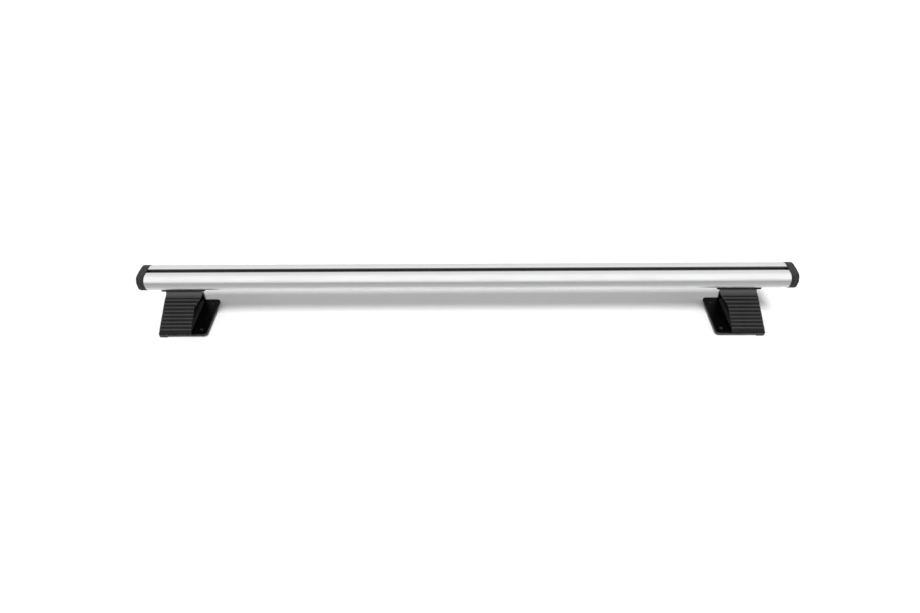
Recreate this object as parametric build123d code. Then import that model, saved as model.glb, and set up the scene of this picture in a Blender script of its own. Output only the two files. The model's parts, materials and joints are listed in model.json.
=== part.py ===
from build123d import *
import math
import os

# Roof rack crossbar on two feet, in millimetres, +Z up.
# X runs along the bar and Y across it. The origin is on the ground, below the middle of the bar.

# Bar
bar_length = 1200.0
bar_width = 54.0
bar_height = 32.0
bar_corner = 14.5
bar_wall = 2.0

# Slot along the top of the bar
top_mouth = 9.0
top_lip = 2.2
top_pocket_width = 20.0
top_pocket_depth = 7.5
mouth_round = 0.6

# Channel along the underside of the bar
low_mouth = 10.0
low_lip = 2.4
low_pocket_width = 24.0
low_pocket_depth = 6.0

# End caps
cap_thickness = 14.0
cap_crown = 2.0
cap_proud = 0.5
cap_edge_round = 3.0
spigot_length = 20.0
spigot_clearance = 0.15
spigot_wall = 2.2
spigot_chamfer = 1.5

# Middle of each foot, inward from its end of the bar
left_foot_inset = 64.0
right_foot_inset = 86.0

# Heights that stack up from the ground to the bar
toe_depth = 4.0
plate_thickness = 4.0
body_height = 84.0
saddle_thickness = 3.0

# Base plate, with distances outward from the middle of the foot
plate_half_depth = 51.5
plate_inner = 30.0
plate_outer = 65.0
plate_inner_corner = 7.0
plate_outer_corner = 4.0
plate_edge_round = 1.4
toe_width = 18.0
toe_chamfer = 0.8
pad_hole_radius = 3.25
pad_hole_pitch = 76.0
pad_hole_inset = 13.0

# Foot body
body_wall = 4.5
plate_margin = 1.8
neck_half_depth = 20.0
neck_height = 18.0
brow_half_depth = 17.2
brow_height = 14.0
head_outer = 34.0
head_margin = 4.0
head_thickness = 7.0
shoulder_drop = 6.0
hip_outer = 40.5
knee_inset = 6.5
knee_rise = 2.0
waist_inner = 13.5
waist_drop = 17.0
flank_round = 12.0
hollow_round = 3.0
rib_count = 9
rib_radius = 2.0
rib_height = 1.8
rib_first_drop = 20.0
rib_last_rise = 9.0

# Cross web between the walls
web_thickness = 5.0
web_inset = 6.0
web_rib_thickness = 4.0
web_rib_depth = 7.0
ledge_depth = 4.5
ledge_height = 10.0

# Threaded bush for the clamp's bolt, in a boss of the web
bush_height = 45.0
bush_bore_radius = 3.35
bush_radius = 6.0
bush_flange_radius = 8.5
bush_flange = 2.0
bush_length = 20.0
bush_stand_out = 2.0
flange_play = 0.3
seat_depth = 0.5
boss_wall = 4.0
moulded_clearance = 0.05

# Screws between base plate and foot body
screw_radius = 2.5
screw_head_radius = 5.0
screw_head_depth = 2.5
screw_length = 15.0
screw_end_room = 1.0
screw_recess = 3.0
screw_recess_depth = 2.2
screw_hole_play = 0.25
screw_post_radius = 5.5
screw_post_height = 18.0
screw_inner_offset = 14.0
screw_outer_inset = 12.5
screw_side_inset = 13.5

# T-head bolts, washers and nuts between foot and bar
bolt_radius = 4.0
outer_bolt = 18.0
bolt_hole_play = 0.4
t_head_width = 20.0
t_head_length = 14.0
t_head_thickness = 4.5
t_head_round = 2.0
bolt_tail = 3.0
washer_radius = 8.0
washer_thickness = 1.6
washer_web_gap = 1.1
nut_across_flats = 13.0
nut_thickness = 6.5
thread_clearance = 0.05
fastener_chamfer = 0.6

# Saddle
saddle_half_length = 41.5
saddle_half_depth = 19.5
saddle_flat_margin = 0.3
saddle_running_gap = 0.3
saddle_corner = 3.0
saddle_key_length = 22.0
saddle_key_height = 1.8

# Values worked out from the sizes above
plate_bottom = toe_depth
plate_top = plate_bottom + plate_thickness
body_top = plate_top + body_height
bar_bottom = body_top + saddle_thickness
bar_top = bar_bottom + bar_height
bar_middle = (bar_bottom + bar_top) / 2
bar_half = bar_length / 2
left_foot_x = left_foot_inset - bar_half
right_foot_x = bar_half - right_foot_inset
core_half = max(top_pocket_width, low_pocket_width) / 2 + bar_wall
neck_bottom = body_top - neck_height
foot_half_depth = plate_half_depth - plate_margin
flare = (foot_half_depth - neck_half_depth) / (neck_bottom - plate_top)
flare_angle = math.degrees(math.atan(flare))
wall_span = body_wall / math.cos(math.radians(flare_angle))
waist = neck_bottom - waist_drop
lean_inner = waist_inner / (waist - plate_top)


def wall_half(height):
    """Half the depth of the foot body, outside its walls, at a height below the neck."""
    return neck_half_depth + (neck_bottom - height) * flare


def web_face(height):
    """Outward distance of the web's inner face at a height."""
    return web_inset - (height - plate_top) * lean_inner


# Plane on which the bush's flange bears, sunk in the leaning face of the web
bush_seat = web_face(bush_height - bush_flange_radius) + seat_depth

# The inner bolt stands clear of the web, and the head reaches inward past its washer
inner_bolt = web_face(body_top - head_thickness) - washer_radius - washer_web_gap
head_inner = washer_radius + head_margin - inner_bolt


def box_between(x, y, z):
    """Box from three pairs of limits."""
    size = (x[1] - x[0], y[1] - y[0], z[1] - z[0])
    return Pos((x[0] + x[1]) / 2, (y[0] + y[1]) / 2, (z[0] + z[1]) / 2) * Box(*size)


def rod(radius, start, length, axis=(0, 0, 1)):
    """Cylinder from its start point along an axis."""
    return extrude(Plane(origin=start, z_dir=axis) * Circle(radius), length)


def bar_outline(grow=0.0):
    """Outline of the bar, in the plane across it, grown all round."""
    width = bar_width + 2 * grow
    height = bar_height + 2 * grow
    return Pos(0, bar_middle) * RectangleRounded(width, height, bar_corner + grow)


def side_chamber(side):
    """Hollow beside the core of the bar, on the +Y or -Y side."""
    reach = bar_width
    window = Pos(side * (core_half + reach / 2), bar_middle) * Rectangle(reach, bar_height)
    return bar_outline(-bar_wall) & window


def bar_section():
    """Section of the bar: outline less slot, channel and chambers."""
    top_floor = bar_top - top_lip - top_pocket_depth
    low_ceiling = bar_bottom + low_lip + low_pocket_depth
    section = bar_outline()
    section -= Pos(0, bar_top) * Rectangle(top_mouth, 4 * top_lip)
    section -= Pos(0, top_floor + top_pocket_depth / 2) * Rectangle(top_pocket_width, top_pocket_depth)
    section -= Pos(0, bar_bottom) * Rectangle(low_mouth, 4 * low_lip)
    section -= Pos(0, low_ceiling - low_pocket_depth / 2) * Rectangle(low_pocket_width, low_pocket_depth)
    middle_top = top_floor - bar_wall
    middle_bottom = low_ceiling + bar_wall
    middle = Rectangle(2 * (core_half - bar_wall), middle_top - middle_bottom)
    section -= Pos(0, (middle_top + middle_bottom) / 2) * middle
    section -= side_chamber(1)
    section -= side_chamber(-1)
    rims = [v for v in section.vertices() if abs(abs(v.Y) - bar_top) < 0.01 and abs(v.X) < top_mouth]
    return fillet(rims, mouth_round)


def make_bar():
    """Extruded bar with its slot, channel and chambers."""
    return extrude(Plane.YZ.offset(-bar_half) * bar_section(), bar_length)


def make_cap():
    """Cap for the +X end of the bar, its end face crowned across the bar."""
    depth = cap_thickness + cap_crown
    half_width = bar_width / 2 + cap_proud
    crown_radius = (half_width ** 2 + cap_crown ** 2) / (2 * cap_crown)
    cap = extrude(Plane.YZ.offset(bar_half) * bar_outline(cap_proud), depth)
    cap &= Pos(bar_half + depth - crown_radius, 0, bar_middle) * Cylinder(crown_radius, 2 * bar_height)
    cap = fillet(cap.faces().sort_by(Axis.X)[-1].edges(), cap_edge_round)
    for side in (1, -1):
        outside = offset(side_chamber(side), -spigot_clearance)
        inside = offset(outside, -spigot_wall)
        start = Plane.YZ.offset(bar_half - spigot_length)
        spigot = extrude(start * outside, spigot_length)
        tip = spigot.faces().sort_by(Axis.X)[0].edges()
        spigot = chamfer(tip, spigot_chamfer)
        cap += spigot - extrude(start * inside, spigot_length)
    return cap


def wall_profile():
    """Foot body across the bar: flared walls with ribs, and a rounded brow below the saddle."""
    brow_bottom = body_top - brow_height
    right = [(foot_half_depth, plate_top), (neck_half_depth, neck_bottom), (neck_half_depth, brow_bottom)]
    brow_bow = (neck_half_depth - brow_half_depth) * 0.3
    crown = ((neck_half_depth + brow_half_depth) / 2 + brow_bow, body_top - brow_height * 0.42)
    left = [(-y, z) for y, z in reversed(right)]
    outline = Polyline(*right) + ThreePointArc(right[-1], crown, (brow_half_depth, body_top))
    outline += Line((brow_half_depth, body_top), (-brow_half_depth, body_top))
    outline += ThreePointArc((-brow_half_depth, body_top), (-crown[0], crown[1]), left[0])
    outline += Polyline(*left) + Line(left[-1], right[0])
    profile = make_face(outline)
    first = body_top - rib_first_drop
    last = plate_top + rib_last_rise
    sink = rib_radius - rib_height
    for index in range(rib_count):
        height = first + (last - first) * index / (rib_count - 1)
        rib_y = wall_half(height) - sink / math.cos(math.radians(flare_angle))
        profile += [Pos(side * rib_y, height) * Circle(rib_radius) for side in (1, -1)]
    return profile


def hollow_profile():
    """Space between the walls of the foot body."""
    ceiling = body_top - head_thickness
    neck_inside = neck_half_depth - body_wall
    points = [
        (foot_half_depth - wall_span, plate_top),
        (neck_inside, neck_bottom),
        (neck_inside, ceiling),
        (-neck_inside, ceiling),
        (-neck_inside, neck_bottom),
        (wall_span - foot_half_depth, plate_top),
    ]
    hollow = make_face(Polyline(*points, close=True))
    return fillet(hollow.vertices().group_by(Axis.Y)[-1], hollow_round)


def flank_outline():
    """Foot body along the bar, leaning outward to +X, its inner edge bent at a knee and a waist."""
    points = [
        (0, plate_top),
        (plate_outer - plate_margin / 2, plate_top),
        (hip_outer, neck_bottom),
        (head_outer, body_top - shoulder_drop),
        (head_outer, body_top),
        (-head_inner, body_top),
        (knee_inset - head_inner, neck_bottom + knee_rise),
        (-waist_inner, waist),
    ]
    outline = make_face(Polyline(*points, close=True))
    bends = [v for v in outline.vertices() if plate_top < v.Y < body_top]
    return fillet(bends, flank_round)


def leaning_plate(thickness, half_width):
    """Upright plate whose inner face is the web's, from the base up into the head."""
    top = body_top - head_thickness / 2
    face_line = [(web_face(plate_top), plate_top), (web_face(top), top)]
    back_line = [(x + thickness, z) for x, z in reversed(face_line)]
    face = make_face(Polyline(*face_line, *back_line, close=True))
    return extrude(Plane.XZ.offset(-half_width) * face, 2 * half_width)


def make_body():
    """Foot body, standing outward to +X from the middle of its head."""
    reach = 2 * plate_outer
    flank = extrude(Plane.XZ.offset(-reach) * flank_outline(), 2 * reach)
    across = Plane.YZ.offset(-reach)
    walls = extrude(across * (wall_profile() - hollow_profile()), 2 * reach) & flank
    filled = extrude(across * wall_profile(), 2 * reach) & flank
    ledge_reach = (web_inset - ledge_depth, web_inset + web_thickness)
    ledge = box_between(ledge_reach, (-reach, reach), (plate_top, plate_top + ledge_height))
    body = walls + (leaning_plate(web_thickness, reach) & filled)
    body += ledge & filled
    body += leaning_plate(web_thickness + web_rib_depth, web_rib_thickness / 2)
    boss_length = bush_length - bush_flange - bush_stand_out
    body += rod(bush_radius + boss_wall, (bush_seat, 0, bush_height), boss_length, (1, 0, 0))
    for x, y in screw_places():
        post = rod(screw_post_radius, (x, y, plate_top), screw_post_height)
        body += post & filled
    body -= rod(bush_radius + moulded_clearance, (bush_seat - 1, 0, bush_height), bush_length, (1, 0, 0))
    body -= rod(bush_flange_radius + flange_play, (bush_seat, 0, bush_height), bush_length, (-1, 0, 0))
    for x in (inner_bolt, outer_bolt):
        body -= rod(bolt_radius + bolt_hole_play, (x, 0, body_top - 2 * head_thickness), 3 * head_thickness)
    for x, y in screw_places():
        body -= rod(screw_radius + thread_clearance, (x, y, plate_top), screw_length)
    return body


def screw_places():
    """Places of the base plate's screws, outward and across."""
    y = plate_half_depth - screw_side_inset
    return [(x, s * y) for x in (screw_inner_offset, plate_outer - screw_outer_inset) for s in (-1, 1)]


def make_base_plate():
    """Base plate with a toe ridge below its outer edge."""
    length = plate_inner + plate_outer
    middle = (plate_outer - plate_inner) / 2
    across = (-plate_half_depth, plate_half_depth)
    plate = box_between((-plate_inner, plate_outer), across, (plate_bottom, plate_top))
    plate += box_between((plate_outer - toe_width, plate_outer), across, (0, plate_top))
    upright = plate.edges().filter_by(Axis.Z)
    plate = fillet([e for e in upright if e.center().X > middle + length / 4], plate_outer_corner)
    upright = plate.edges().filter_by(Axis.Z)
    plate = fillet([e for e in upright if e.center().X < middle - length / 4], plate_inner_corner)
    plate = fillet(plate.faces().sort_by(Axis.Z)[-1].edges(), plate_edge_round)
    plate = chamfer(plate.faces().sort_by(Axis.Z)[0].edges(), toe_chamfer)
    hole_x = pad_hole_inset - plate_inner
    for hole_y in (-pad_hole_pitch / 2, pad_hole_pitch / 2):
        plate -= rod(pad_hole_radius, (hole_x, hole_y, plate_bottom - 1), plate_thickness + 2)
    for x, y in screw_places():
        plate -= rod(screw_radius + screw_hole_play, (x, y, 0), plate_top + 1)
        plate -= screw_recess_cone(x, y)
    return plate


def screw_seat(x):
    """Height of the plate's underside at a screw, which is lower on the toe ridge."""
    return 0.0 if x > plate_outer - toe_width else plate_bottom


def screw_recess_cone(x, y):
    """Countersink for a screw's head, open downward."""
    bottom = screw_seat(x)
    cone = Pos(x, y, bottom + screw_head_depth / 2) * Cone(screw_head_radius, screw_radius, screw_head_depth)
    return cone + rod(screw_head_radius, (x, y, bottom - 1), 1)


def make_screw(x, y):
    """Countersunk screw with a hexagon recess, its head down."""
    bottom = screw_seat(x)
    play = thread_clearance
    cone = Cone(screw_head_radius - play, screw_radius, screw_head_depth - play)
    screw = Pos(x, y, bottom + (screw_head_depth + play) / 2) * cone
    neck = bottom + screw_head_depth
    screw += rod(screw_radius, (x, y, neck), plate_top + screw_length - screw_end_room - neck)
    recess = Plane((x, y, bottom)) * RegularPolygon(screw_recess / 2, 6, major_radius=False)
    return screw - extrude(recess, screw_recess_depth)


def make_t_bolt(x):
    """Bolt whose flat head hangs in the bar's lower channel."""
    head_bottom = bar_bottom + low_lip
    tail = body_top - head_thickness - washer_thickness - nut_thickness - bolt_tail
    head = Plane((x, 0, head_bottom)) * RectangleRounded(t_head_length, t_head_width, t_head_round)
    bolt = extrude(head, t_head_thickness)
    shank = rod(bolt_radius, (x, 0, tail), head_bottom - tail)
    shank = chamfer(shank.edges().sort_by(Axis.Z)[0], fastener_chamfer)
    return bolt + shank


def make_washer(x):
    """Flat washer below the foot's head."""
    top = body_top - head_thickness
    ring = rod(washer_radius, (x, 0, top - washer_thickness), washer_thickness)
    return ring - rod(bolt_radius + bolt_hole_play, (x, 0, top - 2 * washer_thickness), 3 * washer_thickness)


def make_nut(x):
    """Hex nut below the washer, corners chamfered."""
    top = body_top - head_thickness - washer_thickness
    blank = Plane((x, 0, top - nut_thickness)) * RegularPolygon(nut_across_flats / 2, 6, major_radius=False)
    corner = nut_across_flats / 2 / math.cos(math.radians(30))
    barrel = rod(corner, (x, 0, top - nut_thickness), nut_thickness)
    barrel = chamfer(barrel.edges().sort_by(Axis.Z)[0], fastener_chamfer)
    nut = extrude(blank, nut_thickness) & barrel
    return nut - rod(bolt_radius + thread_clearance, (x, 0, top - 2 * nut_thickness), 3 * nut_thickness)


def make_bush():
    """Threaded bush, flanged on the inner side of the web."""
    start = bush_seat - bush_flange
    bush = rod(bush_radius, (start, 0, bush_height), bush_length, (1, 0, 0))
    bush += rod(bush_flange_radius, (start, 0, bush_height), bush_flange, (1, 0, 0))
    return bush - rod(bush_bore_radius, (start - 1, 0, bush_height), bush_length + 2, (1, 0, 0))


def make_saddle():
    """Saddle: flat where it bears on the bar, edges raised round the bar's lower corners."""
    flat_half = bar_width / 2 - bar_corner - saddle_flat_margin
    rise = bar_corner / 4
    block = box_between((-saddle_half_length, saddle_half_length), (-saddle_half_depth, saddle_half_depth),
                        (body_top, bar_bottom + rise))
    block = fillet(block.edges().filter_by(Axis.Z), saddle_corner)
    cradle = Plane.YZ.offset(-2 * saddle_half_length) * bar_outline(saddle_running_gap)
    saddle = block - extrude(cradle, 4 * saddle_half_length)
    saddle += box_between((-saddle_half_length + saddle_corner, saddle_half_length - saddle_corner),
                          (-flat_half, flat_half), (body_top, bar_bottom))
    key_half = low_mouth / 2 - saddle_running_gap
    saddle += box_between((-saddle_key_length / 2, saddle_key_length / 2), (-key_half, key_half),
                          (body_top, bar_bottom + saddle_key_height))
    for x in (inner_bolt, outer_bolt):
        saddle -= rod(bolt_radius + bolt_hole_play, (x, 0, body_top - 1), saddle_thickness + 2)
    return saddle


def make_foot():
    """All pieces of a foot whose outward side is +X, by name."""
    pieces = {"foot_body": make_body(), "base_plate": make_base_plate(), "saddle": make_saddle()}
    pieces["clamp_bush"] = make_bush()
    for name, x in (("inner", inner_bolt), ("outer", outer_bolt)):
        pieces[name + "_t_bolt"] = make_t_bolt(x)
        pieces[name + "_washer"] = make_washer(x)
        pieces[name + "_nut"] = make_nut(x)
    names = ("front_inner", "rear_inner", "front_outer", "rear_outer")
    for name, (x, y) in zip(names, screw_places()):
        pieces[name + "_base_screw"] = make_screw(x, y)
    return pieces


os.makedirs("parts", exist_ok=True)
nodes = {"crossbar": make_bar()}
end_cap = make_cap()
nodes["right_end_cap"] = end_cap
nodes["left_end_cap"] = mirror(end_cap, Plane.YZ)
for piece_name, piece in make_foot().items():
    nodes["right_" + piece_name] = Pos(right_foot_x, 0, 0) * piece
    nodes["left_" + piece_name] = Pos(left_foot_x, 0, 0) * mirror(piece, Plane.YZ)
for node_name, solid in nodes.items():
    export_step(solid, f"parts/{node_name}.step")
    print(node_name, round(solid.volume / 1000, 2), "cm3")
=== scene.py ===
import bpy, bmesh, json, math
from mathutils import Matrix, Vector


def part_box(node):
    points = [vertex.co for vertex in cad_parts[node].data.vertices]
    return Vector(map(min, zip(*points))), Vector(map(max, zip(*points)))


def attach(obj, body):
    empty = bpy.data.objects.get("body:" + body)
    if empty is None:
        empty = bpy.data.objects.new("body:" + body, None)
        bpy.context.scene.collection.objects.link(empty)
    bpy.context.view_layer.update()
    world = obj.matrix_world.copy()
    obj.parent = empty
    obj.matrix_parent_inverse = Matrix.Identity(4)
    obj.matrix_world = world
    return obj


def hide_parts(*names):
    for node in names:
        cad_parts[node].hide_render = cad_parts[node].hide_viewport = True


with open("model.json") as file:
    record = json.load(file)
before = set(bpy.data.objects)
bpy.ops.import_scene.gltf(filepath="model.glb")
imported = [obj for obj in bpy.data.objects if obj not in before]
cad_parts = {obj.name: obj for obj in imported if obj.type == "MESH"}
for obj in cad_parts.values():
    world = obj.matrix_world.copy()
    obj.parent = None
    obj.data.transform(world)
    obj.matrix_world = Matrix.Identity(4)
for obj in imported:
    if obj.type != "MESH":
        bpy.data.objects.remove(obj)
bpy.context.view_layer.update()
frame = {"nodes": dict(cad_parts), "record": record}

print("stage: frame loaded")
nodes = frame["nodes"]
sides = {"left": -1, "right": 1}  # the way along X that each foot leans
mm = 0.001


# Node trees. A Wire is one output in a tree, so that maths on wires reads as maths.
class Wire:
    def __init__(self, tree, socket):
        self.tree = tree
        self.socket = socket

    def maths(self, operation, first, second):
        return self.tree.node("Math", {"operation": operation}, {0: first, 1: second})

    def __add__(self, other):
        return self.maths("ADD", self, other)

    def __sub__(self, other):
        return self.maths("SUBTRACT", self, other)

    def __rsub__(self, other):
        return self.maths("SUBTRACT", other, self)

    def __mul__(self, other):
        return self.maths("MULTIPLY", self, other)

    def __truediv__(self, other):
        return self.maths("DIVIDE", self, other)

    def __rtruediv__(self, other):
        return self.maths("DIVIDE", other, self)

    def __gt__(self, other):
        return self.maths("GREATER_THAN", self, other)

    def __abs__(self):
        return self.maths("ABSOLUTE", self, 0.0)

    __radd__ = __add__
    __rmul__ = __mul__


class Tree:
    families = ("ShaderNode", "GeometryNode", "FunctionNode")

    def __init__(self, tree):
        self.tree = tree
        tree.nodes.clear()

    # A node of that type: its settings first, then the values, wires or lists of wires of its sockets
    def node(self, kind, settings=None, sockets=None, out=0):
        family = next(name for name in self.families if hasattr(bpy.types, name + kind))
        made = self.tree.nodes.new(family + kind)
        for key, value in (settings or {}).items():
            setattr(made, key, value)
        for key, value in (sockets or {}).items():
            wires = value if isinstance(value, list) else [value]
            for wire in wires:
                if isinstance(wire, Wire):
                    self.tree.links.new(wire.socket, made.inputs[key])
                else:
                    made.inputs[key].default_value = wire
        return Wire(self, made.outputs[out]) if made.outputs else None

    # One axis of a vector, by its number
    def axis(self, vector, number):
        return self.node("SeparateXYZ", {}, {0: vector}, out=number)


class Finish(Tree):
    def __init__(self, name, tree=None):
        if tree is None:
            self.material = bpy.data.materials.new(name)
            self.material.use_nodes = True
            tree = self.material.node_tree
        super().__init__(tree)

    # Object coordinates, stretched by a scale for each axis
    def place(self, scale=(1, 1, 1)):
        coordinates = self.node("TexCoord", out=3)
        return self.node("Mapping", {}, {"Vector": coordinates, "Scale": scale})

    def noise(self, vector, scale, detail=2.0, rough=0.5):
        sockets = {"Vector": vector, "Scale": scale, "Detail": detail, "Roughness": rough}
        return self.node("TexNoise", {}, sockets)

    # A value turned into a mask that goes softly from 0 to 1 between two levels
    def mask(self, wire, low, high):
        levels = {"Value": wire, "From Min": low, "From Max": high}
        return self.node("MapRange", {"interpolation_type": "SMOOTHSTEP"}, levels)

    def mixColours(self, factor, first, second):
        return self.node("Mix", {"data_type": "RGBA"}, {0: factor, 6: first, 7: second}, out=2)

    def bump(self, height, strength, distance):
        return self.node("Bump", {}, {"Height": height, "Strength": strength, "Distance": distance})

    # The shader and output that end a material's tree
    def surface(self, sockets):
        shader = self.node("BsdfPrincipled", {}, sockets)
        self.node("OutputMaterial", {}, {"Surface": shader})
        return self.material


class Shape(Tree):
    def __init__(self, name, inputs):
        group = bpy.data.node_groups.new(name, "GeometryNodeTree")
        super().__init__(group)
        group.interface.new_socket("Mesh", in_out="INPUT", socket_type="NodeSocketGeometry")
        for label, kind in {**inputs, "Finish": "Material"}.items():
            group.interface.new_socket(label, in_out="INPUT", socket_type="NodeSocket" + kind)
        group.interface.new_socket("Mesh", in_out="OUTPUT", socket_type="NodeSocketGeometry")
        self.entry = group.nodes.new("NodeGroupInput")
        self.exit = group.nodes.new("NodeGroupOutput")

    def given(self, label):
        return Wire(self, self.entry.outputs[label])

    # Smooth shading with the edges over an angle left sharp, then the two nodes that end every tree
    def close(self, geometry, sharpAngle):
        edgeAngle = self.node("InputMeshEdgeAngle")
        smooth = self.node("SetShadeSmooth", {"domain": "FACE"}, {"Geometry": geometry, "Shade Smooth": True})
        sharp = {"Geometry": smooth, "Selection": edgeAngle > math.radians(sharpAngle), "Shade Smooth": False}
        edged = self.node("SetShadeSmooth", {"domain": "EDGE"}, sharp)
        real = self.node("RealizeInstances", {}, {0: edged})
        coated = self.node("SetMaterial", {}, {"Geometry": real, "Material": self.given("Finish")})
        self.tree.links.new(coated.socket, self.exit.inputs[0])

    # Runs the tree on a piece, and leaves the piece with the plain mesh that comes out
    def run(self, piece, values):
        modifier = piece.modifiers.new(self.tree.name, "NODES")
        modifier.node_group = self.tree
        for entry in self.tree.interface.items_tree:
            if entry.in_out == "INPUT" and entry.name in values:
                modifier[entry.identifier] = values[entry.name]
        settle(piece)


# Replaces a piece's modifiers by the mesh that they make
def settle(piece):
    shown = piece.evaluated_get(bpy.context.evaluated_depsgraph_get())
    mesh = bpy.data.meshes.new_from_object(shown)
    piece.modifiers.clear()
    piece.data = mesh
    return piece


def rgb(red, green=None, blue=None):
    return (red, red if green is None else green, red if blue is None else blue, 1)


# A closed mesh from points in millimetres; its faces are turned to point outwards
def newPiece(name, points, faces, edges=()):
    mesh = bpy.data.meshes.new(name)
    mesh.from_pydata([[value * mm for value in point] for point in points], edges, faces)
    turnOut(mesh)
    piece = bpy.data.objects.new(name, mesh)
    bpy.context.scene.collection.objects.link(piece)
    return piece


# Turns faces outwards; a weld distance first closes the hair cracks that a Boolean leaves
def turnOut(mesh, weld=0.0):
    work = bmesh.new()
    work.from_mesh(mesh)
    if weld:
        bmesh.ops.remove_doubles(work, verts=work.verts, dist=weld)
        bmesh.ops.dissolve_degenerate(work, edges=work.edges, dist=weld)
    bmesh.ops.recalc_face_normals(work, faces=work.faces)
    work.to_mesh(mesh)
    work.free()


# Cuts every face into triangles
def facet(mesh):
    work = bmesh.new()
    work.from_mesh(mesh)
    bmesh.ops.triangulate(work, faces=work.faces)
    work.to_mesh(mesh)
    work.free()


# Closed skin over rings that all have the same number of points
def skinRings(name, rings):
    count = len(rings[0])
    points = [point for ring in rings for point in ring]
    faces = []
    for row in range(len(rings) - 1):
        for step in range(count):
            after = (step + 1) % count
            low, high = row * count, (row + 1) * count
            faces.append((low + step, low + after, high + after, high + step))
    faces.append(tuple(range(count)))
    faces.append(tuple(range(len(points) - count, len(points))))
    return newPiece(name, points, faces)


def arc(x, y, radius, start, end, steps):
    angles = [math.radians(start + (end - start) * step / steps) for step in range(steps + 1)]
    return [(x + radius * math.cos(angle), y + radius * math.sin(angle)) for angle in angles]


# Round rod from its start, along X or Z
def rod(name, radius, start, length, axis, steps=48):
    x, y, z = start
    rings = []
    for reach in (0, length):
        if axis == "X":
            rings.append([(x + reach, b, c) for b, c in arc(y, z, radius, 0, 360, steps)[:-1]])
        else:
            rings.append([(a, b, z + reach) for a, b in arc(x, y, radius, 0, 360, steps)[:-1]])
    return skinRings(name, rings)


weldDistance = 0.002 * mm


# Joins parts to a piece, or cuts them out of it; parts of flat triangles keep the result closed
def combine(piece, operation, parts):
    group = bpy.data.collections.new(operation)
    for part in parts:
        facet(part.data)
        group.objects.link(part)
    cut = piece.modifiers.new(operation, "BOOLEAN")
    cut.operand_type = "COLLECTION"
    cut.collection = group
    cut.operation = operation
    cut.solver = "EXACT"
    turnOut(settle(piece).data, weldDistance)
    for part in parts:
        bpy.data.objects.remove(part)
    bpy.data.collections.remove(group)


def boxMillimetres(node):
    low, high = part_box(node)
    return [value / mm for value in low], [value / mm for value in high]


def middleOf(node):
    low, high = boxMillimetres(node)
    return [(a + b) / 2 for a, b in zip(low, high)]


# Anodised bar: fine die lines along its length and a soft mottle from the anodising. The slots get painted
# shade:
# their insides are coloured dark, less metallic and rougher, and the dark runs a little past the top slot's
# mouth onto the flat top. Each slot is masked by its reach from the middle and by its heights, in metres.
barFinish = {
    "pale": rgb(0.71, 0.71, 0.715), "dull": rgb(0.64, 0.64, 0.65), "rough": 0.31, "lineScale": 900,
    # The slot colour is painted shade for the slots' insides and the top slot's mouth
    "mottleScale": 60, "haze": (0.35, 0.7), "slotShadeColour": rgb(0.13), "slotRough": 0.65,
    "lipLevel": (0.1260, 0.1263), "mouthShadeReach": (0.0052, 0.0056), "pocketReach": (0.0100, 0.0106),
    "pocketFloor": (0.1160, 0.1170), "channelReach": (0.0120, 0.0126), "channelFoot": (0.0952, 0.0960),
    "channelTop": (0.1034, 0.1044)}


def makeBarFinish():
    look = Finish("anodisedBar")
    lines = look.noise(look.place((0.004, 1, 1)), barFinish["lineScale"], 3.0, 0.6)
    mottle = look.noise(look.place((0.25, 1, 1)), barFinish["mottleScale"], 3.0, 0.6)
    haze = look.mask(mottle, *barFinish["haze"])
    across, height = (look.axis(look.place(), number) for number in (1, 2))
    across = abs(across)
    # Painted shade mask: the slot pockets, the top slot's mouth with a thin band past its edges, and the
    # lower channel
    lips = look.mask(height, *barFinish["lipLevel"])
    pocket = (1 - look.mask(across, *barFinish["pocketReach"])) * look.mask(height, *barFinish["pocketFloor"])
    slot = pocket * (1 - lips) + (1 - look.mask(across, *barFinish["mouthShadeReach"])) * lips
    channel = 1 - look.mask(across, *barFinish["channelReach"])
    channel = channel * look.mask(height, *barFinish["channelFoot"])
    inside = slot + channel * (1 - look.mask(height, *barFinish["channelTop"]))
    colour = look.mixColours(lines * 0.5 + haze * 0.25, barFinish["pale"], barFinish["dull"])
    # Painted shade: dark colour inside the slots and along the top slot's mouth
    colour = look.mixColours(inside, colour, barFinish["slotShadeColour"])
    rough = lines * 0.10 + haze * 0.07 + barFinish["rough"]
    rough = rough * (1 - inside) + inside * barFinish["slotRough"]
    return look.surface({
        "Base Color": colour, "Metallic": 1 - inside * 0.8, "Roughness": rough,
        "Normal": look.bump(lines, 0.25, 0.00008)})


# Grained cap plastic: pebbled texture with paler tops
capFinish = {
    "deep": rgb(0.006), "top": rgb(0.060, 0.060, 0.059), "rough": 0.58, "shine": 0.22, "grainScale": 1500,
    "pebbleScale": 620, "tops": (0.46, 0.62)}


def makeCapFinish():
    look = Finish("grainedCap")
    spot = look.place()
    grain = look.noise(spot, capFinish["grainScale"], 2.0, 0.6)
    pebble = look.noise(spot, capFinish["pebbleScale"], 1.0, 0.5)
    tops = look.mask(grain * 0.4 + pebble * 0.6, *capFinish["tops"])
    colour = look.mixColours(tops * 0.8, capFinish["deep"], capFinish["top"])
    return look.surface({
        "Base Color": colour, "Roughness": tops * -0.14 + capFinish["rough"],
        "Specular IOR Level": capFinish["shine"], "Normal": look.bump(grain * 0.5 + pebble, 0.7, 0.0008)})


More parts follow.
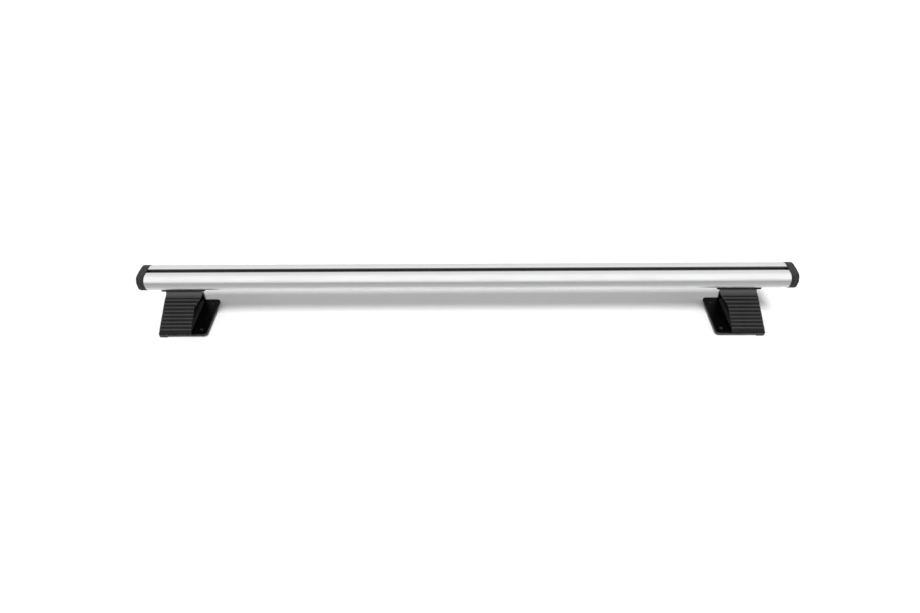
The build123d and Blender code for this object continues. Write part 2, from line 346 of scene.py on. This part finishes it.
# Glass-filled nylon of the feet: satin, fine spark texture, faint flow marks up the walls. The ribs' crests
# and the neck stand proud of the wall's leaning face, by distances in metres, and carry painted highlights:
# their colour is made paler where light would catch them. Dust gathers low in the hollow.
footFinish = {
    # The crest and neck colours are painted highlights
    "base": rgb(0.002, 0.002, 0.0022), "pale": rgb(0.008, 0.008, 0.0078), "crest": rgb(0.026, 0.026, 0.0255),
    "neck": rgb(0.065, 0.065, 0.064), "dust": rgb(0.026, 0.026, 0.025), "rough": 0.24, "shine": 0.36,
    "sparkScale": 1600, "flowScale": 55, "streak": (0.42, 0.72), "lean": 24.23, "face": 0.0486,
    "crestHighlightProud": (0.0005, 0.0018), "neckHighlightProud": (0.0018, 0.0050), "hollowProud": (-0.0065, -0.0055),
    "dustLevel": (0.0184, 0.0190)}


def makeFootFinish():
    look = Finish("footNylon")
    spark = look.noise(look.place(), footFinish["sparkScale"], 2.0, 0.55)
    flow = look.noise(look.place((1, 0.4, 0.12)), footFinish["flowScale"], 3.0, 0.6)
    streak = look.mask(flow, *footFinish["streak"])
    lean = math.radians(footFinish["lean"])
    across, height = (look.axis(look.place(), number) for number in (1, 2))
    proud = abs(across) * math.cos(lean) + height * math.sin(lean) - footFinish["face"]
    # Painted highlight on the ribs' crests
    paintedHighlight = look.mask(proud, *footFinish["crestHighlightProud"]) * (spark * 0.6 + 0.7)
    low = 1 - look.mask(height, *footFinish["dustLevel"])
    dusty = low * (1 - look.mask(proud, *footFinish["hollowProud"]))
    colour = look.mixColours(streak * 0.5 + spark * 0.3, footFinish["base"], footFinish["pale"])
    colour = look.mixColours(paintedHighlight, colour, footFinish["crest"])
    # Painted highlight on the neck, paler where it stands proud under the bar
    colour = look.mixColours(look.mask(proud, *footFinish["neckHighlightProud"]), colour, footFinish["neck"])
    colour = look.mixColours(dusty, colour, footFinish["dust"])
    return look.surface({
        "Base Color": colour, "Roughness": streak * 0.08 + spark * 0.10 + footFinish["rough"],
        "Specular IOR Level": footFinish["shine"], "Normal": look.bump(spark, 0.25, 0.00005)})


# Powder coat of the base plates: orange peel and nearly black, with a painted highlight on every face that
# isn't level, broken up by scuff noise
plateFinish = {
    "base": rgb(0.001), "pale": rgb(0.004, 0.004, 0.0043), "paintedHighlight": rgb(0.07, 0.07, 0.069), "rough": 0.4,
    "shine": 0.04, "peelScale": 700, "dustScale": 160, "dust": (0.52, 0.75), "scuffScale": 240,
    "scuff": (0.35, 0.6), "level": (0.5, 0.95)}


def makePlateFinish():
    look = Finish("plateCoat")
    peel = look.noise(look.place(), plateFinish["peelScale"], 2.0, 0.4)
    dust = look.mask(look.noise(look.place(), plateFinish["dustScale"], 4.0, 0.65), *plateFinish["dust"])
    scuff = look.mask(look.noise(look.place(), plateFinish["scuffScale"], 4.0, 0.7), *plateFinish["scuff"])
    facing = abs(look.axis(look.node("TexCoord", out=1), 2))
    # Painted highlight on the rims and sides, where the plate isn't level
    edge = (1 - look.mask(facing, *plateFinish["level"])) * (scuff * 0.7 + peel * 0.4)
    colour = look.mixColours(dust * 0.6, plateFinish["base"], plateFinish["pale"])
    colour = look.mixColours(edge, colour, plateFinish["paintedHighlight"])
    return look.surface({
        "Base Color": colour, "Roughness": dust * 0.15 + plateFinish["rough"],
        "Specular IOR Level": plateFinish["shine"], "Normal": look.bump(peel, 0.3, 0.0002)})


# Saddle rubber: matt and fine-grained, with a faint bloom
rubberFinish = {
    "base": rgb(0.004), "bloomed": rgb(0.012), "rough": 0.72, "shine": 0.3, "grainScale": 1300,
    "bloomScale": 70, "bloom": (0.45, 0.7)}


def makeRubberFinish():
    look = Finish("saddleRubber")
    grain = look.noise(look.place(), rubberFinish["grainScale"], 3.0, 0.6)
    bloom = look.mask(look.noise(look.place(), rubberFinish["bloomScale"], 3.0, 0.6), *rubberFinish["bloom"])
    colour = look.mixColours(bloom * 0.5, rubberFinish["base"], rubberFinish["bloomed"])
    return look.surface({
        "Base Color": colour, "Roughness": bloom * 0.1 + rubberFinish["rough"],
        "Specular IOR Level": rubberFinish["shine"], "Normal": look.bump(grain, 0.4, 0.0002)})


# Zinc-plated fasteners, with turning marks round the bolts' axes
zincFinish = {
    "bright": rgb(0.50, 0.50, 0.485), "stained": rgb(0.36, 0.355, 0.33), "rough": 0.22, "turnScale": 420,
    "stainScale": 120, "stain": (0.45, 0.75)}


def makeZincFinish():
    look = Finish("zincPlate")
    turned = look.noise(look.place((1, 1, 6)), zincFinish["turnScale"], 3.0, 0.6)
    stain = look.mask(look.noise(look.place(), zincFinish["stainScale"], 3.0, 0.6), *zincFinish["stain"])
    colour = look.mixColours(stain * 0.8, zincFinish["bright"], zincFinish["stained"])
    return look.surface({
        "Base Color": colour, "Metallic": 1.0, "Normal": look.bump(turned, 0.2, 0.0001),
        "Roughness": turned * 0.18 + stain * 0.12 + zincFinish["rough"]})


# Blackened steel, ground, and worn to the metal in spots
blackFinish = {
    "base": rgb(0.012), "worn": rgb(0.05, 0.048, 0.045), "metallic": 0.8, "rough": 0.38, "grindScale": 500,
    "wearScale": 260, "wear": (0.55, 0.8)}


def makeBlackSteelFinish():
    look = Finish("blackedSteel")
    grind = look.noise(look.place((1, 1, 5)), blackFinish["grindScale"], 3.0, 0.6)
    worn = look.mask(look.noise(look.place(), blackFinish["wearScale"], 4.0, 0.65), *blackFinish["wear"])
    colour = look.mixColours(worn * 0.6, blackFinish["base"], blackFinish["worn"])
    return look.surface({
        "Base Color": colour, "Metallic": blackFinish["metallic"],
        "Roughness": grind * 0.2 + blackFinish["rough"], "Normal": look.bump(grind, 0.25, 0.0001)})


finishes = {
    "anodised_aluminium": makeBarFinish(),
    "cap_plastic": makeCapFinish(),
    "foot_nylon": makeFootFinish(),
    "plate_paint": makePlateFinish(),
    "saddle_rubber": makeRubberFinish(),
    "plated_steel": makeZincFinish(),
    "blackened_steel": makeBlackSteelFinish(),
}
slotOf = {entry["node"]: entry["material_slot"] for entry in frame["record"]["subparts"]}
for name, solid in nodes.items():
    solid.data.materials.clear()
    solid.data.materials.append(finishes[slotOf[name]])
print("stage: finishes on", len(nodes), "nodes")


# Gives a made piece its body and, if it has none, the finish of the CAD node's material slot, and hides the
# CAD node that it stands in for
def dress(piece, body, node):
    if not piece.data.materials:
        piece.data.materials.append(finishes[slotOf[node]])
    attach(piece, body)
    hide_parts(node)


# Crossbar: a section drawn in millimetres round the bar's middle, and a tree that draws it out along X
barShape = {
    "corner": 14.5, "wall": 2.0, "mouth": 9.0, "lip": 2.2, "pocket": 20.0, "pocketDepth": 7.5, "rim": 0.6,
    "lowMouth": 10.0, "lowLip": 2.4, "lowPocket": 24.0, "lowDepth": 6.0, "arcSteps": 24, "rimSteps": 4,
    "weld": 1e-6, "sharp": 32}


def barSection(width, height):
    half, top = width / 2, height / 2
    corner, wall, rim, steps = barShape["corner"], barShape["wall"], barShape["rim"], barShape["arcSteps"]
    under = top - barShape["lip"]
    floor = under - barShape["pocketDepth"]
    lowLip = barShape["lowLip"] - top
    ceiling = lowLip + barShape["lowDepth"]
    mouth, pocket = barShape["mouth"] / 2, barShape["pocket"] / 2
    lowMouth, lowPocket = barShape["lowMouth"] / 2, barShape["lowPocket"] / 2
    right = [(pocket, floor), (pocket, under), (mouth, under)]
    right += arc(mouth + rim, top - rim, rim, 180, 90, barShape["rimSteps"])
    right += arc(half - corner, top - corner, corner, 90, 0, steps)
    right += arc(half - corner, corner - top, corner, 0, -90, steps)
    right += [(lowMouth, -top), (lowMouth, lowLip), (lowPocket, lowLip), (lowPocket, ceiling)]
    outline = right + [(-x, y) for x, y in reversed(right)]
    core = max(pocket, lowPocket)
    middle = [(core, floor - wall), (core, ceiling + wall), (-core, ceiling + wall), (-core, floor - wall)]
    inner = corner - wall
    start = math.degrees(math.acos((core + wall - half + corner) / inner))
    chamber = arc(half - corner, top - corner, inner, start, 0, steps)
    chamber += [(x, -y) for x, y in reversed(chamber)]
    return [outline, middle, chamber, [(-x, y) for x, y in chamber]]


def makeCrossbar():
    low, high = boxMillimetres("crossbar")
    points, edges = [], []
    for loop in barSection(high[1] - low[1], high[2] - low[2]):
        first = len(points)
        points += [(x, y, 0) for x, y in loop]
        edges += [(first + step, first + (step + 1) % len(loop)) for step in range(len(loop))]
    bar = newPiece("drawnBar", points, [], edges)
    tree = Shape("drawOut", {"Length": "Float", "Start": "Float", "Middle": "Float"})
    outline = tree.node("MeshToCurve", {}, {0: tree.given("Mesh")})
    sheet = tree.node("FillCurve", {}, {0: outline})
    reach = tree.node("CombineXYZ", {}, {2: tree.given("Length")})
    drawn = tree.node("ExtrudeMesh", {"mode": "FACES"}, {"Mesh": sheet, "Offset": reach, "Individual": False})
    behind = tree.node("FlipFaces", {}, {0: sheet})
    both = tree.node("JoinGeometry", {}, {0: [drawn, behind]})
    closed = tree.node("MergeByDistance", {}, {0: both, "Distance": barShape["weld"]})
    spot = tree.node("CombineXYZ", {}, {0: tree.given("Start"), 2: tree.given("Middle")})
    upright = (math.radians(90), 0, math.radians(90))
    placed = tree.node("Transform", {}, {0: closed, "Translation": spot, "Rotation": upright})
    tree.close(placed, barShape["sharp"])
    tree.run(bar, {
        "Length": (high[0] - low[0]) * mm, "Start": low[0] * mm, "Middle": (low[2] + high[2]) / 2 * mm,
        "Finish": finishes[slotOf["crossbar"]]})
    turnOut(bar.data)
    dress(bar, "bar", "crossbar")


makeCrossbar()
print("stage: crossbar drawn")


# Foot moulding, in millimetres: distances outward from the foot's middle, heights from the ground
footShape = {
    "neckHalf": 20.0, "neck": 18.0, "browHalf": 17.2, "brow": 14.0, "browCurve": 2.9, "wall": 4.5,
    "head": 7.0, "hollowRound": 3.0, "hollowSteps": 6, "hip": 40.5, "shoulder": 6.0, "headOuter": 34.0,
    "knee": 29.8, "kneeRise": 2.0, "waist": 13.5, "waistDrop": 17.0, "ease": 2.5, "edge": 0.6,
    "edgeSteps": 4, "row": 0.8, "sharp": 30, "web": 5.0, "webInset": 6.0, "webRib": 4.0,
    "webRibDepth": 7.0, "ledge": 4.5, "ledgeHeight": 10.0, "bushRadius": 6.0, "bushFlange": 2.0,
    "bossWall": 4.0, "bossLength": 16.0, "post": 5.5, "postHeight": 18.0, "inWall": 1.0}
ribShape = {"count": 9, "radius": 2.0, "height": 1.8, "firstDrop": 20.0, "lastRise": 9.0, "steps": 7}


# Reach at a height, along a line through (height, reach) bends, eased where it turns
def bentLine(height, bends, ease):
    def straight(level):
        for (lowLevel, lowReach), (highLevel, highReach) in zip(bends, bends[1:]):
            if level <= highLevel or highLevel == bends[-1][0]:
                return lowReach + (highReach - lowReach) * (level - lowLevel) / (highLevel - lowLevel)
    steps = (-1, -0.5, 0, 0.5, 1)
    return sum(straight(height + ease * step) for step in steps) / len(steps)


# One foot's own numbers, read from its CAD pieces
def measureFoot(side):
    low, high = boxMillimetres(side + "_foot_body")
    middle = middleOf(side + "_saddle")[0]
    outward = sides[side]
    reaches = sorted(outward * (x - middle) for x in (low[0], high[0]))
    foot = {"side": side, "middle": middle, "outward": outward}
    foot.update({"base": low[2], "top": high[2], "half": high[1]})
    foot["neckAt"] = foot["top"] - footShape["neck"]
    foot["flare"] = (foot["half"] - footShape["neckHalf"]) / (foot["neckAt"] - foot["base"])
    foot["span"] = footShape["wall"] * math.hypot(1, foot["flare"])
    waistAt = foot["neckAt"] - footShape["waistDrop"]
    foot["lean"] = footShape["waist"] / (waistAt - foot["base"])
    foot["inner"] = [
        (foot["base"], 0), (waistAt, -footShape["waist"]),
        (foot["neckAt"] + footShape["kneeRise"], -footShape["knee"]), (foot["top"], reaches[0])]
    shoulderAt = foot["top"] - footShape["shoulder"]
    foot["outer"] = [
        (foot["base"], reaches[1]), (foot["neckAt"], footShape["hip"]),
        (shoulderAt, footShape["headOuter"]), (foot["top"], footShape["headOuter"])]
    return foot


def wallHalf(foot, height):
    return footShape["neckHalf"] + max(0, foot["neckAt"] - height) * foot["flare"]


def webFace(foot, height):
    return footShape["webInset"] - (height - foot["base"]) * foot["lean"]


# Heights of the wall's rows: evenly round each rib's bow, and no further apart than the row between ribs
def wallRows(foot):
    radius, steps = ribShape["radius"], ribShape["steps"]
    spread = math.acos(1 - ribShape["height"] / radius)
    slope = math.cos(math.atan(foot["flare"]))
    last, first = foot["base"] + ribShape["lastRise"], foot["top"] - ribShape["firstDrop"]
    marks = [foot["base"]]
    for rib in range(ribShape["count"]):
        crest = last + (first - last) * rib / (ribShape["count"] - 1)
        turns = [spread * step / steps for step in range(-steps, steps + 1)]
        marks += [crest + radius * slope * math.sin(turn) for turn in turns]
    marks.append(foot["neckAt"])
    rows = [foot["base"]]
    for low, high in zip(marks, marks[1:]):
        parts = math.ceil((high - low) / footShape["row"])
        rows += [low + (high - low) * part / parts for part in range(1, parts + 1)]
    return rows


# Pairs of outside and inside points across the bar, from the ground at +Y up to the middle of the head
def wallStations(foot):
    pairs = []
    for height in wallRows(foot):
        out = wallHalf(foot, height)
        rise = (height - foot["base"]) / (foot["neckAt"] - foot["base"])
        thinner = (foot["span"] - footShape["wall"]) * rise
        pairs.append(((out, height), (out - foot["span"] + thinner, height)))
    browAt = foot["top"] - footShape["brow"]
    ceiling = foot["top"] - footShape["head"]
    turn = footShape["hollowRound"]
    inside = footShape["neckHalf"] - footShape["wall"]
    corner = [(inside, browAt), (inside, (browAt + ceiling - turn) / 2)]
    corner += arc(inside - turn, ceiling - turn, turn, 0, 90, footShape["hollowSteps"])
    for row, point in enumerate(corner):
        rise = row / (len(corner) - 1)
        drawIn = (footShape["neckHalf"] - footShape["browHalf"]) * rise ** footShape["browCurve"]
        pairs.append(((footShape["neckHalf"] - drawIn, browAt + footShape["brow"] * rise), point))
    for share in (0.75, 0.5, 0.25):
        pairs.append(((footShape["browHalf"] * share, foot["top"]), ((inside - turn) * share, ceiling)))
    return pairs


# One ring round the wall at a station, its four edges rounded, and how far each point follows the ribs
def wallRing(foot, pair, front):
    (outY, outZ), (inY, inZ) = pair
    thick = math.hypot(outY - inY, outZ - inZ)
    edge, steps = footShape["edge"], footShape["edgeSteps"]
    bows = [math.radians(90 * step / steps) for step in range(steps + 1)]
    skin = [(edge * (1 - math.sin(bow)), edge * (1 - math.cos(bow)), math.cos(bow)) for bow in bows]
    corners = [(-1, inset, depth, follow) for inset, depth, follow in reversed(skin)]
    corners += [(1, inset, depth, follow) for inset, depth, follow in skin]
    corners += [(1, inset, thick - depth, 0) for inset, depth, follow in reversed(skin)]
    corners += [(-1, inset, thick - depth, 0) for inset, depth, follow in skin]
    ring, follows = [], []
    for end, inset, depth, follow in corners:
        share = depth / thick
        y, z = outY + (inY - outY) * share, outZ + (inZ - outZ) * share
        bends = foot["outer"] if end > 0 else foot["inner"]
        reach = bentLine(z, bends, footShape["ease"]) - end * inset
        ring.append((foot["middle"] + foot["outward"] * reach, -y if front else y, z))
        follows.append(follow)
    return ring, follows


def makeRibTree():
    tree = Shape("wallRibs", {
        "Count": "Int", "First": "Float", "Last": "Float", "Radius": "Float", "Height": "Float",
        "Flare": "Float"})
    across, level = (tree.axis(tree.node("InputPosition"), number) for number in (1, 2))
    last = tree.given("Count") - 1
    pitch = (tree.given("First") - tree.given("Last")) / last
    local = (tree.given("First") - level) / pitch
    rounded = local.maths("ROUND", local, 0.0)
    nearest = local.maths("MINIMUM", rounded.maths("MAXIMUM", rounded, 0.0), last)
    slope = tree.node("Math", {"operation": "COSINE"}, {0: tree.given("Flare")})
    aside = (local - nearest) * pitch / slope
    squared = tree.given("Radius") * tree.given("Radius") - aside * aside
    bow = tree.node("Math", {"operation": "SQRT"}, {0: squared.maths("MAXIMUM", squared, 0.0)})
    rise = bow - (tree.given("Radius") - tree.given("Height"))
    follow = tree.node("InputNamedAttribute", {"data_type": "FLOAT"}, {"Name": "follow"})
    push = rise.maths("MAXIMUM", rise, 0.0) * follow
    side = tree.node("Math", {"operation": "SIGN"}, {0: across})
    up = tree.node("Math", {"operation": "SINE"}, {0: tree.given("Flare")})
    offset = tree.node("CombineXYZ", {}, {1: push * slope * side, 2: push * up})
    ribbed = tree.node("SetPosition", {}, {"Geometry": tree.given("Mesh"), "Offset": offset})
    tree.close(ribbed, footShape["sharp"])
    return tree


def makeFootBody(side, ribTree):
    foot = measureFoot(side)
    half = wallStations(foot)
    rings, follows = [], []
    for front in (False, True):
        for pair in (half if not front else reversed(half)):
            ring, follow = wallRing(foot, pair, front)
            rings.append(ring)
            follows += follow
    body = skinRings(side + "FootMoulding", rings)
    mark = body.data.attributes.new("follow", "FLOAT", "POINT")
    mark.data.foreach_set("value", follows)
    first, last = foot["top"] - ribShape["firstDrop"], foot["base"] + ribShape["lastRise"]
    ribTree.run(body, {
        "Count": ribShape["count"], "First": first * mm, "Last": last * mm, "Radius": ribShape["radius"] * mm,
        "Height": ribShape["height"] * mm, "Flare": math.atan(foot["flare"]),
        "Finish": finishes[slotOf[side + "_foot_body"]]})
    combine(body, "UNION", footInside(foot))
    combine(body, "DIFFERENCE", footHoles(foot))
    body.data.shade_smooth()
    body.data.set_sharp_from_angle(angle=math.radians(footShape["sharp"]))
    dress(body, side + "_foot", side + "_foot_body")


# Upright slab whose inner face leans with the web, between heights, reaching into the walls
def leaningSlab(foot, name, thick, halfAt, levels, upright=None):
    rings = []
    for level in levels:
        near = webFace(foot, level) if upright is None else upright
        wide = halfAt(level)
        spots = ((near, -wide), (near + thick, -wide), (near + thick, wide), (near, wide))
        rings.append([(foot["middle"] + foot["outward"] * x, y, level) for x, y in spots])
    return skinRings(name, rings)


# Where the clamp bush's flange seats: its place along X, and the bush's height
def bushSeat(foot):
    low, high = boxMillimetres(foot["side"] + "_clamp_bush")
    flangeEnd = high[0] if foot["outward"] < 0 else low[0]
    return flangeEnd + foot["outward"] * footShape["bushFlange"], (low[2] + high[2]) / 2


# Web, its rib, the ledge along its foot, the bush's boss and the screw posts
def footInside(foot):
    webTop = foot["top"] - footShape["head"] / 2

    def intoWall(level):
        return wallHalf(foot, level) - foot["span"] + footShape["inWall"]

    levels = (foot["base"], foot["neckAt"], webTop)
    parts = [leaningSlab(foot, "web", footShape["web"], intoWall, levels)]
    ribDeep = footShape["web"] + footShape["webRibDepth"]
    parts.append(leaningSlab(foot, "webRib", ribDeep, lambda level: footShape["webRib"] / 2, levels))
    ledgeTop = foot["base"] + footShape["ledgeHeight"]
    ledgeIn = footShape["webInset"] - footShape["ledge"]
    parts.append(leaningSlab(foot, "ledge", footShape["web"], intoWall, (foot["base"], ledgeTop), ledgeIn))
    seat, level = bushSeat(foot)
    bossRadius = footShape["bossWall"] + footShape["bushRadius"]
    start = seat if foot["outward"] > 0 else seat - footShape["bossLength"]
    parts.append(rod("boss", bossRadius, (start, 0, level), footShape["bossLength"], "X"))
    for screw in screwsOf(foot["side"]):
        x, y, z = middleOf(screw)
        post = rod("post", footShape["post"], (x, y, foot["base"]), footShape["postHeight"], "Z")
        for vertex in post.data.vertices:
            limit = (wallHalf(foot, vertex.co.z / mm) - footShape["inWall"]) * mm
            vertex.co.y = max(-limit, min(limit, vertex.co.y))
        parts.append(post)
    return parts


def screwsOf(side):
    return [name for name in nodes if name.startswith(side) and name.endswith("base_screw")]


# Radii of a foot's holes, the screw holes' depth, and how far the cuts run past what they go through
holeShape = {
    "bush": 6.05, "flange": 8.8, "bolt": 4.4, "screw": 2.55, "screwDeep": 15.0, "under": 1.0, "past": 12.0}


def footHoles(foot):
    side, outward = foot["side"], foot["outward"]
    seat, level = bushSeat(foot)
    past, under = holeShape["past"], holeShape["under"]
    through = 2 * past
    bushStart = seat - past - (outward < 0) * past
    flangeStart = seat - (outward > 0) * through
    cuts = [rod("bushHole", holeShape["bush"], (bushStart, 0, level), 3 * past, "X")]
    cuts.append(rod("flangeSeat", holeShape["flange"], (flangeStart, 0, level), through, "X"))
    for place in ("inner", "outer"):
        x = middleOf(f"{side}_{place}_t_bolt")[0]
        cuts.append(rod("boltHole", holeShape["bolt"], (x, 0, foot["top"] - past), through, "Z"))
    for screw in screwsOf(side):
        x, y, z = middleOf(screw)
        start = (x, y, foot["base"] - under)
        cuts.append(rod("screwHole", holeShape["screw"], start, holeShape["screwDeep"] + under, "Z"))
    return cuts


ribTree = makeRibTree()
for side in sides:
    makeFootBody(side, ribTree)
print("stage: foot mouldings built")


# T-head bolts, in millimetres: a rounded flat head, and a shank whose thread is rolled by a tree. The neck is
# the plain stretch from the shank's top, and it keeps the join with the head clean.
boltShape = {
    "radius": 4.0, "pitch": 1.25, "depth": 0.65, "headRound": 2.0, "headSteps": 6, "headThick": 4.5,
    "round": 32, "perTurn": 8, "intoHead": 2.05, "neck": 3.6, "sharp": 50}


def makeThreadTree():
    tree = Shape("rolledThread", {
        "Radius": "Float", "Pitch": "Float", "Depth": "Float", "Long": "Float", "Rows": "Int",
        "Across": "Float", "Level": "Float", "Neck": "Float"})
    blank = tree.node("MeshCylinder", {"fill_type": "NGON"}, {
        "Vertices": boltShape["round"], "Side Segments": tree.given("Rows"), "Radius": tree.given("Radius"),
        "Depth": tree.given("Long")})
    x, y, z = (tree.axis(tree.node("InputPosition"), number) for number in range(3))
    angle = x.maths("ARCTAN2", y, x) / (2 * math.pi)
    turn = z / tree.given("Pitch") + angle
    wave = abs(turn.maths("FLOORED_MODULO", turn, 1.0) - 0.5) * 2
    threaded = (tree.given("Long") / 2 - z) > tree.given("Neck")
    scale = 1 - wave * threaded * tree.given("Depth") / tree.given("Radius")
    cut = tree.node("CombineXYZ", {}, {0: x * scale, 1: y * scale, 2: z})
    rolled = tree.node("SetPosition", {}, {"Geometry": blank, "Position": cut})
    spot = tree.node("CombineXYZ", {}, {0: tree.given("Across"), 2: tree.given("Level")})
    placed = tree.node("Transform", {}, {0: rolled, "Translation": spot})
    union = {"operation": "UNION", "solver": "EXACT"}
    joined = tree.node("MeshBoolean", union, {1: [tree.given("Mesh"), placed]})
    tree.close(joined, boltShape["sharp"])
    return tree


def makeBolt(node, tree):
    low, high = boxMillimetres(node)
    x = (low[0] + high[0]) / 2
    turn, thick = boltShape["headRound"], boltShape["headThick"]
    wide, deep = (high[0] - low[0]) / 2 - turn, (high[1] - low[1]) / 2 - turn
    outline = []
    for quarter, (across, along) in enumerate(((1, 1), (-1, 1), (-1, -1), (1, -1))):
        start = 90 * quarter
        outline += arc(x + across * wide, along * deep, turn, start, start + 90, boltShape["headSteps"])
    side, place = node.split("_")[:2]
    rings = [[(a, b, level) for a, b in outline] for level in (high[2] - thick, high[2])]
    head = skinRings(side + place.title() + "Bolt", rings)
    shank = high[2] - thick + boltShape["intoHead"] - low[2]
    tree.run(head, {
        "Radius": boltShape["radius"] * mm, "Pitch": boltShape["pitch"] * mm,
        "Depth": boltShape["depth"] * mm, "Long": shank * mm, "Neck": boltShape["neck"] * mm,
        "Rows": round(shank / boltShape["pitch"] * boltShape["perTurn"]), "Across": x * mm,
        "Level": (low[2] + shank / 2) * mm, "Finish": finishes[slotOf[node]]})
    turnOut(head.data, weldDistance)
    dress(head, side + "_foot", node)


threadTree = makeThreadTree()
for name in [name for name in nodes if name.endswith("t_bolt")]:
    makeBolt(name, threadTree)
print("stage: T-head bolts threaded")


# White floor, in metres. What mirrors it sees it white under the bar and grey in front of the fade along Y.
floorLook = {
    "side": 5.0, "near": -0.64, "far": 7.0, "drop": 0.0002, "white": rgb(0.86), "mirrorNear": rgb(0.86),
    "mirrorFar": rgb(0.44), "fade": (-0.125, -0.080)}


def makeFloor():
    side, near, far = floorLook["side"], floorLook["near"], floorLook["far"]
    mesh = bpy.data.meshes.new("studioFloor")
    corners = [(-side, near), (side, near), (side, far), (-side, far)]
    mesh.from_pydata([(x, y, -floorLook["drop"]) for x, y in corners], [], [(0, 1, 2, 3)])
    floor = bpy.data.objects.new("studioFloor", mesh)
    bpy.context.scene.collection.objects.link(floor)
    look = Finish("whiteFloor")
    close = look.mask(look.axis(look.place(), 1), *floorLook["fade"])
    shades = ("white", "mirrorNear", "mirrorFar")
    lit, nearGrey, farGrey = (look.node("BsdfDiffuse", {}, {"Color": floorLook[key]}) for key in shades)
    mirrored = look.node("MixShader", {}, {0: close, 1: farGrey, 2: nearGrey})
    mixed = look.node("MixShader", {}, {0: look.node("LightPath", out=3), 1: lit, 2: mirrored})
    look.node("OutputMaterial", {}, {"Surface": mixed})
    mesh.materials.append(look.material)


# The key is a broad sun, and the sky is brighter to the left and right. What the bar mirrors is another sky,
# bright above and dark low down at the front. The turnover is where its front gives way to what is behind.
studio = {
    "key": 2.92, "keyAngle": 28, "keyWidth": 14, "sky": 0.30, "sideSky": 1.05, "sideRise": (0.3, 0.9),
    "zenith": 1.42, "front": 0.36, "behind": 1.0, "frontRise": (0.07, 0.44), "behindRise": (0.55, 0.97),
    "turnover": (-0.1, 0.35)}


def makeLight():
    lamp = bpy.data.lights.new("key", "SUN")
    lamp.energy = studio["key"]
    lamp.angle = math.radians(studio["keyWidth"])
    key = bpy.data.objects.new("key", lamp)
    bpy.context.scene.collection.objects.link(key)
    key.matrix_world = Matrix.Rotation(math.radians(studio["keyAngle"]), 4, "X")
    key.visible_glossy = False
    world = bpy.data.worlds.new("studio")
    bpy.context.scene.world = world
    world.use_nodes = True
    look = Finish("studio", world.node_tree)
    aside, away, height = (look.axis(look.node("TexCoord", out=0), number) for number in range(3))

    def glow(strength):
        return look.node("Background", {}, {"Color": rgb(1.0), "Strength": strength})

    def blend(factor, first, second):
        return look.node("MixShader", {}, {0: factor, 1: first, 2: second})

    front = blend(look.mask(height, *studio["frontRise"]), glow(studio["front"]), glow(studio["zenith"]))
    behind = blend(look.mask(height, *studio["behindRise"]), glow(studio["behind"]), glow(studio["zenith"]))
    mirrored = blend(look.mask(away, *studio["turnover"]), front, behind)
    sideways = look.mask(abs(aside), *studio["sideRise"])
    softLight = blend(sideways, glow(studio["sky"]), glow(studio["sideSky"]))
    seen, glossy, through = (look.node("LightPath", out=ray) for ray in (0, 3, 6))
    unseen = blend(glossy + through, softLight, mirrored)
    look.node("OutputWorld", {}, {"Surface": blend(seen, unseen, glow(1.0))})


# The photograph's view: place in metres, angles in degrees, lens and sensor in millimetres
viewpoint = {
    "place": (-0.0107, -0.9210, 0.8957), "down": 43.14, "roll": 1.02, "turn": 1.18, "lens": 25.04,
    "sensor": 36.0, "clip": 0.01}


def makeCamera():
    data = bpy.data.cameras.new("photoView")
    data.sensor_fit = "HORIZONTAL"
    data.sensor_width = viewpoint["sensor"]
    data.lens = viewpoint["lens"]
    data.clip_start = viewpoint["clip"]
    camera = bpy.data.objects.new("photoView", data)
    bpy.context.scene.collection.objects.link(camera)
    aim = Matrix.Rotation(math.radians(90 - viewpoint["down"]), 4, "X")
    lean = Matrix.Rotation(math.radians(-viewpoint["roll"]), 4, "Z")
    turn = Matrix.Rotation(math.radians(viewpoint["turn"]), 4, "Z")
    camera.matrix_world = turn @ Matrix.Translation(viewpoint["place"]) @ aim @ lean
    bpy.context.scene.camera = camera


makeFloor()
makeLight()
makeCamera()
bpy.context.scene.view_settings.view_transform = "Standard"
print("stage: floor, light and camera")
